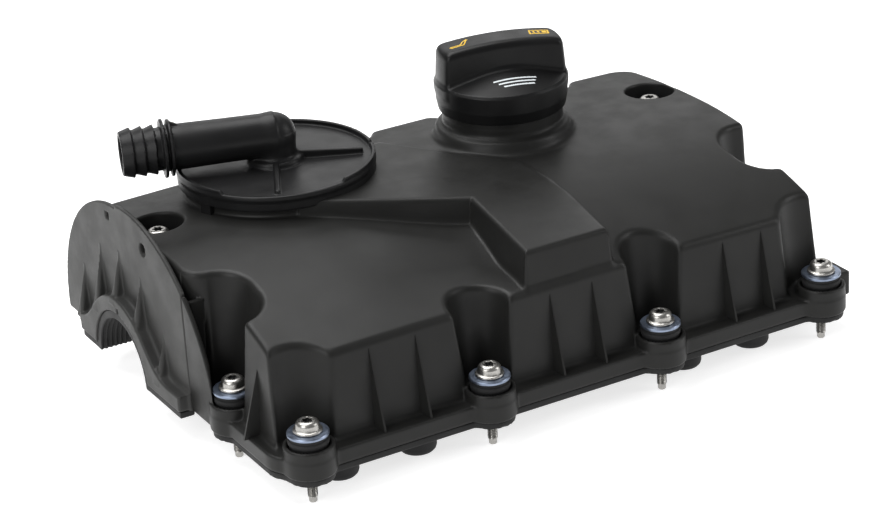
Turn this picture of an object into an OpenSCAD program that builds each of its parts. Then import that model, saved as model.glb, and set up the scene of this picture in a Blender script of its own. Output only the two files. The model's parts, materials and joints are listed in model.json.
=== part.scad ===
// Cylinder head cover of an in-line four-cylinder engine, with crankcase pressure regulator,
// oil filler cap, belt guard and captive bolts.
// Frame: origin midway between the two inner front bolts, on the face that meets the cylinder head.
// +X runs along the engine away from the belt end, +Y to the rear of the cover, +Z up. Millimetres.

/* [Cover] */
// Pitch of the front bolts
bolt_pitch = 118; // [114:1:122]
// Distance between the front and the rear bolt row
row_gap = 244; // [240:1:250]
// Height of the roof's crest above the cylinder head
roof_top = 94; // [90:1:98]
// How far the crowned roof falls from its crest to the front edge
roof_fall = 28.6; // [27:0.2:30]
// Position of the roof's crest across the engine
roof_crest_y = 25; // [22:1:30]
// Wall thickness of the moulding
wall = 3; // [2.5:0.1:3.5]
// Height of the flange
flange_h = 10; // [9:0.5:11]
// Thickness of the gasket under the flange
gasket_h = 4.5; // [4:0.5:5]

/* [Bolts] */
// Height of the washer's top face above the cylinder head, on the flange
washer_top = 29; // [28:0.5:30]
// Radius of the bolt's thread
bolt_r = 3; // [2.9:0.05:3.1]
// Length of the bolt below its washer
bolt_len = 44.5; // [43:0.5:46]
// Radius of the washers
washer_r = 12.1; // [11.5:0.1:12.5]
// Radius of the bolt bosses
boss_r = 15; // [14.5:0.5:16]

/* [Pressure regulator] */
// Position of the regulator along the cover
reg_x = -91; // [-93:1:-89]
// Position of the regulator across the cover
reg_y = 71; // [69:1:72]
// Outer radius of the regulator's cap
reg_cap_r = 61; // [60:0.5:62]
// Direction of the hose nozzle, seen from above
nozzle_angle = 162.6; // [155:0.1:170]
// Distance from the regulator's axis to the nozzle's open end
nozzle_reach = 94; // [92:1:96]
// Radius of the gas passage
nozzle_bore_r = 10.5; // [9.5:0.5:11]
// Travel of the diaphragm plate
plate_travel = 4; // [3:0.5:4]

/* [Oil filler] */
// Position of the filler neck along the cover
neck_x = 62; // [60:1:64]
// Position of the filler neck across the cover
neck_y = 56; // [54:1:58]
// Outer radius of the filler neck
neck_r = 38; // [37:0.5:39]
// Radius of the neck's bore
neck_bore_r = 31.3; // [30.8:0.1:32]
// Radius of the filler cap
cap_r = 42; // [41:0.5:43]
// Height of the filler cap's grip above the cylinder head
cap_top = 157; // [153:1:159]
// Direction of the grip, seen from above
grip_angle = -14; // [-30:1:30]

/* [Belt guard] */
// Radius of the camshaft opening
arch_r = 33; // [32:0.5:34]
// Position of the camshaft opening across the cover
arch_y = 66; // [65:1:67]
// Thickness of the guard plate
guard_t = 3; // [2.5:0.5:3.5]

/* [Hidden] */
$fn = 64;

eps = 0.01;
far = 400;

// Flange and walls
flange_x = 197;
flange_y = row_gap / 2 + 5.5;
flange_z = gasket_h + flange_h;
lip = 8;
flange_skin = 3;
corner_r = 22;
front_wall = row_gap / 2 - 6.5;
rear_wall = row_gap / 2 - 3;
side_front_x = 189;
side_rear_x = 196;
step_left_y = -8;
step_right_y = -20;
rear_round = 16;
roof_span = 141;
roof_power = 2;
roof_rear_share = 0.5;
roof_step = 16;
front_notch_r = 18;
front_notch_shift = 6;
front_notch_y = -row_gap / 2 + 17;
corner_notch_r = 25;
end_notch_r = 20;
rear_notch_r = 15.5;

// Bolt places
corner_x = 1.5 * bolt_pitch;
front_y = -row_gap / 2;
rear_y = row_gap / 2;
end_x = 187;
end_y = -49;
end_notch_len = 10;
well_y = 62;
well_r = 16.5;
well_rise = 51;
well_floor = 5;
front_bolts = [for (i = [-1.5:1:1.5]) [i * bolt_pitch, front_y]];
rear_pitch = 75;
rear_bolts = [for (i = [-1:1]) [bolt_pitch / 2 + i * rear_pitch, rear_y]];
end_bolts = [for (s = [-1, 1]) [s * end_x, end_y]];
well_bolts = [for (s = [-1, 1]) [s * corner_x, well_y]];
flange_bolts = concat(front_bolts, end_bolts, rear_bolts);
all_bolts = concat([for (b = flange_bolts) [b[0], b[1], 0]],
    [for (b = well_bolts) [b[0], b[1], well_rise]]);

// Bolt stack, measured from the cylinder head
boss_top = washer_top - 7.5;
seat_z = washer_top - 13;
stem_z = washer_top - 21;
washer_t = 2;
grommet_r = 11.8;
boss_bore_r = 6.2;
counterbore_r = 12.2;
sleeve_r = 4.1;
sleeve_bore_r = 3.3;
thread_top = 0;
shank_r = 2.7;
head_flange_r = 8.5;
head_r = 6.9;

// Raised gas duct from the front wall to the regulator
duct_top = 93.5;
duct_front = -106;
duct_plan = [[-22, duct_front], [34, duct_front], [44, -50], [45, -25], [43, 5], [20, 33],
    [-16, 77], [reg_x, reg_y], [-57, 16], [-8.5, -22]];
duct_inner = [[-18, duct_front + 3], [31, duct_front + 3], [40.5, -50], [41.5, -25], [39.5, 4],
    [18, 30], [-19, 73], [reg_x, reg_y], [-55, 19], [-4, -20]];
duct_slope = 1.6;

// Dip of the roof beside the duct
dip_plan = [[-far, -far], [-20, -far], [-20, duct_front], [-6.5, -20.5], [-56, 18], [reg_x, 40],
    [-125, 40], [-178, -20], [-far, -20]];
dip_z = 85;
dip_fall_x = 2.4;
dip_fall_y = 12;

// Regulator heights and radii
tower_r = 57.7;
tower_low = 62;
tower_top = 104;
chamber_r = tower_r - wall;
chamber_floor = 82;
cup_r = 43;
bead_z = 94;
bead_h = 2.5;
plate_r = 22;
plate_top = 92;
plate_h = 3.5;
seat_r = 13.5;
seat_low = plate_top + plate_travel + 0.3;
nozzle_z = 124;
nozzle_r = 14;
elbow_r = 13;
collar_r = 17.5;
collar_at = nozzle_reach - 26;
root_r = 13.2;
barb_r = 15.5;
barbs = 3;
barb_l = 7;

// Filler heights and radii
neck_top = 119.5;
mound_r = 46;
mound_top = 101;
seal_h = 2;
cap_low = 117;
cap_deck = 133;
plug_r = 30.5;
plug_low = 103.5;
grip_w = 27;
splash_z = 70;
splash_t = 2;
splash_arm = 35;

// Guard plate: two arcs and a foot band
guard_x = -flange_x;
band_x = guard_x - 11;
band_r = arch_r + 15;
seam_y = -16;
gasket_arch_r = arch_r + 4.5;
guard_hole_r = 4;
guard_hole = [34, 89];

// Separator
tray_z = 58;
tray_t = 2.5;
tray_posts = [[-8, -88], [24, -88], [28, -20], [4, 24]];
cup_places = [-152, -101, 84, 134];
cup_place_y = -107.5;
drain_r = 11.5;
drain_low = -12.5;

// The modules work from the middle of the cover; this moves a piece to the frame's origin
module seated() {
    translate([0, -front_y, 0]) children();
}

module place(points) {
    for (p = points) translate([p[0], p[1], len(p) > 2 ? p[2] : 0]) children();
}

module rounded_rect(w, d, r) {
    square([w - 2 * r, d], center = true);
    square([w, d - 2 * r], center = true);
    for (sx = [-1, 1], sy = [-1, 1]) translate([sx * (w / 2 - r), sy * (d / 2 - r)]) circle(r);
}

// A cylinder whose axis runs along X
module x_cylinder(r, x0, x1, y, z) {
    translate([x0, y, z]) rotate([0, 90, 0]) cylinder(r = r, h = x1 - x0);
}

// Height of the crowned roof, which falls less behind its crest than in front of it
function roof_z(y) = roof_top - (y < roof_crest_y ? 1 : roof_rear_share) * roof_fall
    * pow(abs(y - roof_crest_y) / roof_span, roof_power);

// Everything below the crowned roof, lowered by the given depth
module under_roof(depth) {
    edge = 9 * roof_step;
    crown = [for (y = [-edge:roof_step:edge]) [y, roof_z(y) - depth]];
    rotate([90, 0, 90]) translate([0, 0, -far]) linear_extrude(2 * far)
        polygon(concat(crown, [[edge, -far], [-edge, -far]]));
}

// Outline of the flange, shrunk by inset
module flange_plan(inset) {
    rounded_rect(2 * (flange_x - inset), 2 * (flange_y - inset), corner_r - inset);
    intersection() {
        place(flange_bolts) circle(boss_r - inset);
        square([2 * (flange_x - inset), far], center = true);
    }
}

// Outline of the walls, shrunk by g; the notches round the bolts grow by the same
module wall_plan(g) {
    difference() {
        union() {
            translate([-side_front_x + g, -front_wall + g])
                square([2 * (side_front_x - g), front_wall + rear_wall - 2 * g]);
            translate([-side_rear_x + g, step_left_y + g])
                square([side_rear_x, rear_wall - step_left_y - 2 * g]);
            translate([0, step_right_y + g])
                square([side_rear_x - g, rear_wall - step_right_y - 2 * g]);
        }
        place(end_bolts) {
            circle(end_notch_r + g);
            translate([0, end_notch_len]) circle(end_notch_r + g);
            translate([-end_notch_r - g, 0]) square([2 * (end_notch_r + g), end_notch_len]);
        }
        for (s = [-1, 1]) translate([s * bolt_pitch / 2 + front_notch_shift, front_notch_y]) {
            circle(front_notch_r + g);
            translate([-front_notch_r - g, -far]) square([2 * (front_notch_r + g), far]);
        }
        for (s = [-1, 1]) translate([s * corner_x, front_y]) circle(corner_notch_r + g);
        place(rear_bolts) circle(rear_notch_r + g);
        for (s = [-1, 1]) translate([s * (side_rear_x - rear_round), rear_wall - rear_round]) difference() {
            translate([s > 0 ? 0 : -far, 0]) square(far);
            circle(rear_round - g);
        }
    }
}

// What the roof lacks to the left of the duct, where it dips towards the duct's side
module left_dip(depth) {
    intersection() {
        translate([0, 0, 40]) linear_extrude(far) polygon(dip_plan);
        translate([0, 0, dip_z - depth]) rotate([dip_fall_y, dip_fall_x, 0])
            translate([-far, -far, 0]) cube([2 * far, 2 * far, far]);
    }
}

// The raised duct's roof: a level slab that falls a little towards the front
module duct_body(plan, low, lower_by) {
    intersection() {
        translate([0, 0, low]) linear_extrude(far) polygon(plan);
        translate([0, 5, duct_top - lower_by]) rotate([duct_slope, 0, 0])
            translate([-far / 2, -far / 2, -far]) cube([far, far, far]);
    }
}

module cover_shell() color([0.16, 0.16, 0.155]) difference() {
    union() {
        translate([0, 0, gasket_h]) linear_extrude(flange_h) flange_plan(0);
        difference() {
            intersection() {
                translate([0, 0, gasket_h]) linear_extrude(far) wall_plan(0);
                under_roof(0);
            }
            left_dip(0);
        }
        duct_body(duct_plan, flange_z, 0);
        translate([reg_x, reg_y, tower_low]) cylinder(r = tower_r, h = tower_top - tower_low);
        translate([neck_x, neck_y, chamber_floor]) cylinder(r = neck_r, h = neck_top - chamber_floor);
        translate([neck_x, neck_y, chamber_floor]) cylinder(r = mound_r, h = mound_top - chamber_floor);
        place(flange_bolts) translate([0, 0, gasket_h]) cylinder(r = boss_r - 0.5, h = boss_top - gasket_h);
        guard_fin();
    }
    // inside of the cover
    difference() {
        union() {
            difference() {
                intersection() {
                    translate([0, 0, -eps]) linear_extrude(far) wall_plan(wall);
                    under_roof(wall);
                }
                left_dip(wall);
            }
            translate([0, 0, -eps]) linear_extrude(flange_z - flange_skin + eps)
                rounded_rect(2 * (flange_x - lip), 2 * (flange_y - lip), corner_r - lip);
            duct_body(duct_inner, 10, wall);
            translate([reg_x, reg_y, tower_low + wall])
                cylinder(r = chamber_r, h = chamber_floor - tower_low - 2 * wall);
        }
        place(flange_bolts) cylinder(r = boss_r - 0.5, h = far);
        place(well_bolts) translate([0, 0, seat_z + well_rise - well_floor])
            cylinder(r = well_r + wall, h = far);
        for (p = tray_posts) translate([p[0], p[1], tray_z + tray_t]) cylinder(r = 4.5, h = far);
        for (s = [-1, 1]) translate([neck_x + s * splash_arm, neck_y, splash_z + splash_t])
            cylinder(r = 3, h = far);
    }
    // wells round the two bolts that stand in the roof
    place(well_bolts) {
        translate([0, 0, boss_top + well_rise - 3]) cylinder(r = well_r, h = far);
        cylinder(r = boss_bore_r, h = far);
        translate([0, 0, seat_z + well_rise]) cylinder(r = counterbore_r, h = far);
    }
    // bolt bores on the flange
    place(flange_bolts) {
        cylinder(r = boss_bore_r, h = far);
        translate([0, 0, seat_z]) cylinder(r = counterbore_r, h = far);
    }
    // regulator chamber with its gas ports, and the filler bore
    translate([reg_x, reg_y, chamber_floor]) cylinder(r = chamber_r, h = far);
    translate([reg_x, reg_y, 0]) for (a = [0:60:300])
        rotate([0, 0, a]) translate([49, 0, 0]) cylinder(r = 4, h = far);
    translate([neck_x, neck_y, 0]) cylinder(r = neck_bore_r, h = far);
    // camshaft opening in the belt end
    x_cylinder(gasket_arch_r, -far, -side_rear_x + 12, arch_y, 0);
}

// Narrow fin of the cover beside the end bolt, in line with the belt guard
module guard_fin() {
    intersection() {
        x_cylinder(106, guard_x - guard_t, guard_x, 55, 0);
        translate([-far, -53, gasket_h]) cube([far, seam_y + 53, far]);
    }
    translate([guard_x - eps, seam_y - wall, gasket_h])
        cube([flange_x - side_front_x + 1, wall, flange_z + 60]);
}

module belt_guard_plate() color([0.2, 0.2, 0.195]) difference() {
    union() {
        intersection() {
            union() {
                intersection() {
                    x_cylinder(93, guard_x - guard_t, guard_x, 70, 10);
                    translate([-far, 70, gasket_h]) cube([far, far, far]);
                }
                intersection() {
                    x_cylinder(106, guard_x - guard_t, guard_x, 55, 0);
                    translate([-far, seam_y, gasket_h]) cube([far, 100, far]);
                }
            }
            translate([-far, seam_y, gasket_h]) cube([far, far, far]);
        }
        // band round the camshaft opening and its feet
        intersection() {
            x_cylinder(band_r, band_x, guard_x, arch_y, 0);
            translate([-far, -far, gasket_h]) cube([far, 2 * far, far]);
        }
        translate([band_x, seam_y, gasket_h]) cube([-band_x + guard_x, arch_y - seam_y, flange_h]);
        translate([band_x, arch_y, gasket_h]) cube([-band_x + guard_x, 60, flange_h]);
        // gussets between band and plate
        for (g = [[-7, flange_z, 32], [36, 38, 30], [56, 46, 27], [80, 45, 27], [113, flange_z, 34]])
            translate([guard_x, g[0] + 1.25, g[1] - 6]) rotate([90, 0, 0]) linear_extrude(2.5)
                polygon([[0, 0], [0, g[2] + 6], [-guard_t, g[2] + 6], [band_x - guard_x + 1, 4],
                    [band_x - guard_x + 1, 0]]);
    }
    x_cylinder(gasket_arch_r, -far, far, arch_y, 0);
    x_cylinder(guard_hole_r, -far, far, guard_hole[0], guard_hole[1]);
    translate([-far, 81, 92]) cube([2 * far, 5, 4.5]);
}

module cover_gasket() color([0.05, 0.05, 0.05]) {
    difference() {
        union() {
            linear_extrude(gasket_h) difference() {
                flange_plan(1);
                difference() {
                    rounded_rect(2 * (flange_x - 7.5), 2 * (flange_y - 7.5), corner_r - 7.5);
                    place(flange_bolts) circle(10);
                }
                place(flange_bolts) circle(boss_bore_r);
            }
            translate([band_x + 1, seam_y + 1, 0]) cube([-band_x - flange_x, 140, gasket_h]);
            intersection() {
                x_cylinder(gasket_arch_r, band_x + 1, -side_rear_x + 12, arch_y, 0);
                translate([-far, -far, 0]) cube([far, 2 * far, far]);
            }
        }
        x_cylinder(arch_r, -far, -100, arch_y, 0);
    }
}

module bolt() {
    head = washer_top;
    difference() {
        union() {
            translate([0, 0, washer_top - bolt_len]) cylinder(r = 2.5, h = 4);
            translate([0, 0, washer_top - bolt_len + 3]) cylinder(r = bolt_r, h = thread_top - washer_top + bolt_len - 3);
            translate([0, 0, thread_top - 1]) cylinder(r = shank_r, h = washer_top - thread_top + 2);
            translate([0, 0, head]) cylinder(r = head_flange_r, h = 1.8);
            translate([0, 0, head + 1.8]) cylinder(r1 = head_r + 0.4, r2 = head_r, h = 3.2);
            translate([0, 0, head + 5]) cylinder(r1 = head_r, r2 = 4.4, h = 2.4);
        }
        translate([0, 0, head + 4]) cylinder(r = 3, h = 10, $fn = 6);
    }
}

module cover_bolts() color([0.75, 0.75, 0.76]) place(all_bolts) bolt();

module bolt_washers() color([0.4, 0.5, 0.66]) place(all_bolts) translate([0, 0, washer_top - washer_t])
    difference() {
        cylinder(r = washer_r, h = washer_t);
        translate([0, 0, -1]) cylinder(r = sleeve_bore_r, h = 10);
    }

module bolt_grommets() color([0.06, 0.06, 0.06]) place(all_bolts) difference() {
    union() {
        translate([0, 0, stem_z]) cylinder(r = boss_bore_r - 0.2, h = seat_z - stem_z);
        translate([0, 0, seat_z]) cylinder(r = grommet_r - 0.6, h = washer_top - washer_t - seat_z);
        translate([0, 0, washer_top - 7]) cylinder(r = grommet_r, h = 3);
    }
    cylinder(r = sleeve_r, h = far);
}

module bolt_sleeves() color([0.6, 0.6, 0.62]) place(all_bolts) translate([0, 0, stem_z]) difference() {
    cylinder(r = sleeve_r, h = washer_top - washer_t - stem_z);
    translate([0, 0, -1]) cylinder(r = sleeve_bore_r, h = far);
}

module filler_cap_shell() color([0.1, 0.1, 0.1]) translate([neck_x, neck_y, 0]) difference() {
    union() {
        translate([0, 0, cap_low]) cylinder(r1 = cap_r - 2, r2 = cap_r, h = 4);
        translate([0, 0, cap_low + 4]) cylinder(r = cap_r, h = 8);
        translate([0, 0, cap_low + 12]) cylinder(r1 = cap_r, r2 = 22, h = cap_deck - cap_low - 6);
        intersection() {
            translate([0, 0, cap_low + 10]) cylinder(r1 = cap_r, r2 = cap_r - 3, h = cap_top - cap_low - 10);
            rotate([0, 0, grip_angle]) translate([-far, -grip_w / 2, 0]) cube([2 * far, grip_w, far]);
            rotate([0, 0, grip_angle]) translate([0, far, cap_top - 150]) rotate([90, 0, 0])
                cylinder(r = 150, h = 2 * far);
        }
    }
    translate([0, 0, cap_low - 1]) cylinder(r = neck_r + 0.6, h = neck_top + seal_h + 1 - cap_low);
    translate([0, 0, neck_top]) cylinder(r = plug_r - 4, h = cap_deck - neck_top);
}

module filler_cap_plug() color([0.75, 0.3, 0.05]) translate([neck_x, neck_y, 0]) difference() {
    translate([0, 0, plug_low]) cylinder(r = plug_r, h = neck_top + seal_h - plug_low);
    translate([0, 0, plug_low + 2.5]) cylinder(r = plug_r - 3, h = far);
}

module filler_cap_seal() color([0.05, 0.05, 0.05]) translate([neck_x, neck_y, neck_top]) difference() {
    cylinder(r = neck_r - 1, h = seal_h);
    translate([0, 0, -1]) cylinder(r = plug_r + 0.5, h = 10);
}

module filler_splash_plate() color([0.3, 0.3, 0.3]) translate([neck_x, neck_y, splash_z]) difference() {
    union() {
        cylinder(r = neck_bore_r - 2, h = splash_t);
        translate([-splash_arm - 4, -5, 0]) cube([2 * splash_arm + 8, 10, splash_t]);
    }
    for (a = [30:60:330]) rotate([0, 0, a]) translate([19, 0, -1]) cylinder(r = 4, h = 5);
}

// Outside of the hose nozzle: a tapered tube, a double collar and three barbs, as radius and distance
function nozzle_profile() = concat(
    [[0, 0], [elbow_r - 0.5, 0], [nozzle_r, collar_at - 5], [collar_r, collar_at - 5], [collar_r, collar_at - 3],
        [nozzle_r, collar_at - 3], [nozzle_r, collar_at - 1], [collar_r, collar_at - 1], [collar_r, collar_at + 1],
        [root_r, collar_at + 1]],
    [for (i = [0:barbs - 1]) each [[root_r, collar_at + 4 + i * barb_l], [barb_r, collar_at + 4.5 + i * barb_l]]],
    [[root_r, nozzle_reach], [0, nozzle_reach]]);

// Disc with a raised rim and a skirt that hangs over the tower, as radius and height
disc_profile = [[0, tower_top], [tower_r + 0.4, tower_top], [tower_r + 0.4, tower_top - 6],
    [reg_cap_r, tower_top - 6], [reg_cap_r, tower_top + 6], [reg_cap_r - 2.2, tower_top + 6],
    [reg_cap_r - 2.2, tower_top + wall], [0, tower_top + wall]];

module regulator_cap() color([0.09, 0.09, 0.09]) translate([reg_x, reg_y, 0]) difference() {
    union() {
        rotate_extrude() polygon(disc_profile);
        translate([0, 0, seat_low]) cylinder(r = seat_r, h = tower_top + 1 - seat_low);
        translate([0, 0, tower_top]) cylinder(r = elbow_r + 3, h = 5);
        translate([0, 0, tower_top]) cylinder(r = elbow_r, h = nozzle_z + 8 - tower_top);
        translate([0, 0, nozzle_z + 8]) cylinder(r1 = elbow_r, r2 = elbow_r - 4, h = 4);
        rotate([0, 0, nozzle_angle]) {
            translate([0, 0, nozzle_z]) rotate([0, 90, 0]) rotate_extrude() polygon(nozzle_profile());
            for (a = [90, 180, 270]) rotate([0, 0, a]) translate([elbow_r, -1.2, tower_top + 1])
                cube([40, 2.4, 4.5]);
        }
    }
    translate([0, 0, seat_low - 1]) cylinder(r = nozzle_bore_r - 0.5, h = nozzle_z - seat_low + 1);
    rotate([0, 0, nozzle_angle]) translate([0, 0, nozzle_z]) rotate([0, 90, 0])
        translate([0, 0, -3]) cylinder(r = nozzle_bore_r, h = far);
}

module regulator_cup() color([0.35, 0.35, 0.35]) translate([reg_x, reg_y, chamber_floor]) difference() {
    cylinder(r = cup_r, h = bead_z - chamber_floor);
    translate([0, 0, 2]) difference() {
        cylinder(r = cup_r - 3, h = far);
        cylinder(r = 11, h = plate_top - plate_h - chamber_floor - 2);
    }
    translate([0, 0, -1]) cylinder(r = 3, h = far);
    translate([0, 0, 2]) cylinder(r = 8.5, h = far);
}

module regulator_diaphragm() color([0.1, 0.1, 0.12]) translate([reg_x, reg_y, 0]) rotate_extrude()
    polygon([[plate_r + 0.4, plate_top - 2.2], [plate_r + 0.4, plate_top - 1.2], [cup_r - 4, bead_z + 2],
        [cup_r - 4, bead_z + bead_h], [cup_r, bead_z + bead_h], [cup_r, bead_z], [cup_r - 3.2, bead_z],
        [cup_r - 3.2, bead_z + 0.8]]);

module diaphragm_ring() color([0.5, 0.5, 0.5]) translate([reg_x, reg_y, bead_z + bead_h]) difference() {
    cylinder(r = cup_r, h = 2);
    translate([0, 0, -1]) cylinder(r = cup_r - 4, h = 10);
}

module diaphragm_plate() color([0.85, 0.85, 0.82]) translate([reg_x, reg_y, plate_top - plate_h]) difference() {
    cylinder(r = plate_r, h = plate_h);
    translate([0, 0, -1]) cylinder(r = 6, h = 2.5);
}

// Points of one ring of the coil at angle a
function coil_ring(a, r, wire, rise, sides) =
    [for (k = [0:sides - 1]) let (b = 360 * k / sides, q = r + wire * cos(b))
        [q * cos(a), q * sin(a), rise * a / 360 + wire * sin(b)]];

module coil(r, wire, turns, height) {
    sides = 8;
    steps = 24 * turns;
    rise = (height - 2 * wire) / turns;
    rings = [for (i = [0:steps]) each coil_ring(360 * turns * i / steps, r, wire, rise, sides)];
    sides_of = [for (i = [0:steps - 1], k = [0:sides - 1]) let (n = (k + 1) % sides)
        [i * sides + k, i * sides + n, (i + 1) * sides + n, (i + 1) * sides + k]];
    first = [[for (k = [sides - 1:-1:0]) k]];
    last = [[for (k = [0:sides - 1]) steps * sides + k]];
    translate([0, 0, wire]) polyhedron(rings, concat(sides_of, first, last), convexity = 6);
}

module regulator_spring() color([0.7, 0.7, 0.72]) translate([reg_x, reg_y, plate_top + 0.1])
    coil(17, 0.6, 3, tower_top - plate_top - 0.2);

module separator_tray() color([0.14, 0.14, 0.14]) difference() {
    union() {
        translate([0, 0, tray_z]) linear_extrude(tray_t) tray_plan(0);
        translate([0, 0, tray_z]) linear_extrude(8) difference() {
            tray_plan(0);
            tray_plan(2.5);
        }
    }
    for (p = tray_posts) translate([p[0], p[1], tray_z - 1]) cylinder(r = 2.2, h = 20);
    for (p = [[6, -96], [-91, 50], [-110, 80]]) translate([p[0], p[1], tray_z - 1]) cylinder(r = 5, h = 20);
}

module tray_plan(g) {
    translate([-14.8 + g, -102 + g]) square([52.8 - 2 * g, 137 - 2 * g]);
    translate([reg_x, reg_y]) circle(38 - g);
    translate([reg_x + g, 10 + g]) square([121 - 2 * g, 60 - 2 * g]);
}

module separator_baffles() color([0.14, 0.14, 0.14])
    for (b = [[-11, -72], [-2, -48], [-11, -2]]) translate([b[0], b[1], tray_z + tray_t]) cube([34, 2, 20]);

module tray_screws() color([0.7, 0.7, 0.7]) for (p = tray_posts) translate([p[0], p[1], tray_z]) {
    translate([0, 0, -2.5]) cylinder(r = 4, h = 2.5);
    translate([0, 0, -eps]) cylinder(r = 2, h = tray_t + eps);
}

module drain_cups() color([0.08, 0.08, 0.08]) for (x = cup_places) translate([x, cup_place_y, drain_low])
    difference() {
        union() {
            cylinder(r1 = drain_r - 2, r2 = drain_r, h = 2);
            translate([0, 0, 2]) cylinder(r = drain_r, h = flange_z - flange_skin - drain_low - 2);
        }
        translate([0, 0, 2.5]) cylinder(r = drain_r - 2, h = far);
        translate([0, 0, -1]) cylinder(r = 2.5, h = far);
    }

seated() cover_shell();
seated() belt_guard_plate();
seated() cover_gasket();
seated() cover_bolts();
seated() bolt_washers();
seated() bolt_grommets();
seated() bolt_sleeves();
seated() filler_cap_shell();
seated() filler_cap_plug();
seated() filler_cap_seal();
seated() filler_splash_plate();
seated() regulator_cap();
seated() regulator_cup();
seated() regulator_diaphragm();
seated() diaphragm_ring();
seated() diaphragm_plate();
seated() regulator_spring();
seated() separator_tray();
seated() separator_baffles();
seated() tray_screws();
seated() drain_cups();
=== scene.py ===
"""Cylinder head cover with pressure regulator, filler cap, belt guard and captive bolts.

Every moulded piece is a signed distance function in millimetres, meshed on a sparse grid with the
function's own gradient as its shading normals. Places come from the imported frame.
"""
import json
import math

import bpy
import numpy as np
from mathutils import Matrix, Vector


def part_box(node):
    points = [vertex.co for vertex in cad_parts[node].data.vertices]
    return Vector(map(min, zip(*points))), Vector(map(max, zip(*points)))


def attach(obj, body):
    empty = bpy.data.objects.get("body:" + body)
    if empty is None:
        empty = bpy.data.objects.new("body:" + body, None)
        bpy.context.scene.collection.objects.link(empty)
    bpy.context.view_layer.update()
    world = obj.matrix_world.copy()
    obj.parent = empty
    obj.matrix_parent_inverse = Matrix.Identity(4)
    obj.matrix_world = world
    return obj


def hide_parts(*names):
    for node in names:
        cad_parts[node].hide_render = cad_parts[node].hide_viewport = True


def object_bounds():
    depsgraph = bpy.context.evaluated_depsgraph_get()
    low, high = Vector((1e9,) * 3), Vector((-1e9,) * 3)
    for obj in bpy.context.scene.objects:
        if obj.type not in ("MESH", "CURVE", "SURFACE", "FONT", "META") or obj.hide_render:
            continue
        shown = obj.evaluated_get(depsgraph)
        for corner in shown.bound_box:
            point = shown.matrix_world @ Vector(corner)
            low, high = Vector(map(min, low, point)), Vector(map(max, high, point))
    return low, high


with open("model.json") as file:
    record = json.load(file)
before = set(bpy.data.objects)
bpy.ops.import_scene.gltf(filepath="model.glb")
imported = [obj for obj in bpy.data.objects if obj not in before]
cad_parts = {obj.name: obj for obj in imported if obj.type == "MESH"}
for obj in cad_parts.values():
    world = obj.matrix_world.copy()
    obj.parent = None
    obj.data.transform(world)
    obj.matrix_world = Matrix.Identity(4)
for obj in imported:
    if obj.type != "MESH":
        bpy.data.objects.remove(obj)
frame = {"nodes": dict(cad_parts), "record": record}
cad_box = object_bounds()
MM = 0.001


# ---------------------------------------------------------------- places from the frame
def mount(name):
    """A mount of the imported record."""
    return next(m for m in frame["record"]["mounts"] if m["name"] == name)


ROW_Y = mount("rear_outer_studs")["pos_m"][1] / MM / 2
SHIFT = np.array([0.0, ROW_Y, 0.0])  # from the middle of the cover, where the shapes below are drawn


def mm_box(node):
    """A CAD node's lowest and highest corner in millimetres from the middle of the cover."""
    low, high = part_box(node)
    return np.array(low) / MM - SHIFT, np.array(high) / MM - SHIFT


def middle(node):
    """A CAD node's centre in millimetres from the middle of the cover."""
    low, high = mm_box(node)
    return (low + high) / 2


def mount_place(name):
    """A mount's place in millimetres from the middle of the cover."""
    return np.array(mount(name)["pos_m"]) / MM - SHIFT


def half_circle(name):
    """Half the distance between the two studs of a pattern."""
    return mount(name)["dims"]["pcd_mm"] / 2


CORNER_X, INNER_X, END_X = [half_circle(n) for n in ("front_outer_studs", "front_inner_studs", "end_studs")]
END_Y = mount_place("end_studs")[1]
WELL_Y = mount_place("roof_studs")[1]
REAR_X, REAR_PITCH = mount_place("rear_middle_stud")[0], half_circle("rear_outer_studs")
REG_X, REG_Y = middle("diaphragm_plate")[:2]
NECK_X, NECK_Y = middle("filler_cap_plug")[:2]
NOZZLE_AXIS = mount("hose_bore")["axis"]
NOZZLE_TIP = mount_place("hose_bore")
NOZZLE_Z = NOZZLE_TIP[2]
NOZZLE_REACH = math.hypot(NOZZLE_TIP[0] - REG_X, NOZZLE_TIP[1] - REG_Y)
NOZZLE_TURN = math.atan2(NOZZLE_AXIS[1], NOZZLE_AXIS[0])
NOZZLE_BORE = mount("hose_bore")["dims"]["r_mm"]
GUARD_HOLE = mount_place("guard_hole")

rear_bolts = [(REAR_X + i * REAR_PITCH, ROW_Y) for i in (-1, 0, 1)]
flange_bolts = [(x, -ROW_Y) for x in (-CORNER_X, -INNER_X, INNER_X, CORNER_X)]
flange_bolts += [(-END_X, END_Y), (END_X, END_Y)] + rear_bolts
well_bolts = [(-CORNER_X, WELL_Y), (CORNER_X, WELL_Y)]
front_corners = [(-CORNER_X, -ROW_Y), (CORNER_X, -ROW_Y)]


# ---------------------------------------------------------------- distance functions
def disc(cx, cy, r):
    """An upright cylinder without end."""
    return lambda p: np.hypot(p[0] - cx, p[1] - cy) - r


def block(x0, x1, y0, y1, r=0.0):
    """An upright prism over a rectangle with rounded corners."""
    cx, cy, hx, hy = (x0 + x1) / 2, (y0 + y1) / 2, (x1 - x0) / 2 - r, (y1 - y0) / 2 - r

    def distance(p):
        qx = np.abs(p[0] - cx) - hx
        qy = np.abs(p[1] - cy) - hy
        return np.hypot(np.maximum(qx, 0), np.maximum(qy, 0)) + np.minimum(np.maximum(qx, qy), 0) - r
    return distance


def slot(x0, y0, x1, y1, r):
    """An upright prism over a segment swollen by r."""
    dx, dy = x1 - x0, y1 - y0
    length = dx * dx + dy * dy

    def distance(p):
        t = np.clip(((p[0] - x0) * dx + (p[1] - y0) * dy) / length, 0, 1)
        return np.hypot(p[0] - x0 - t * dx, p[1] - y0 - t * dy) - r
    return distance


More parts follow.
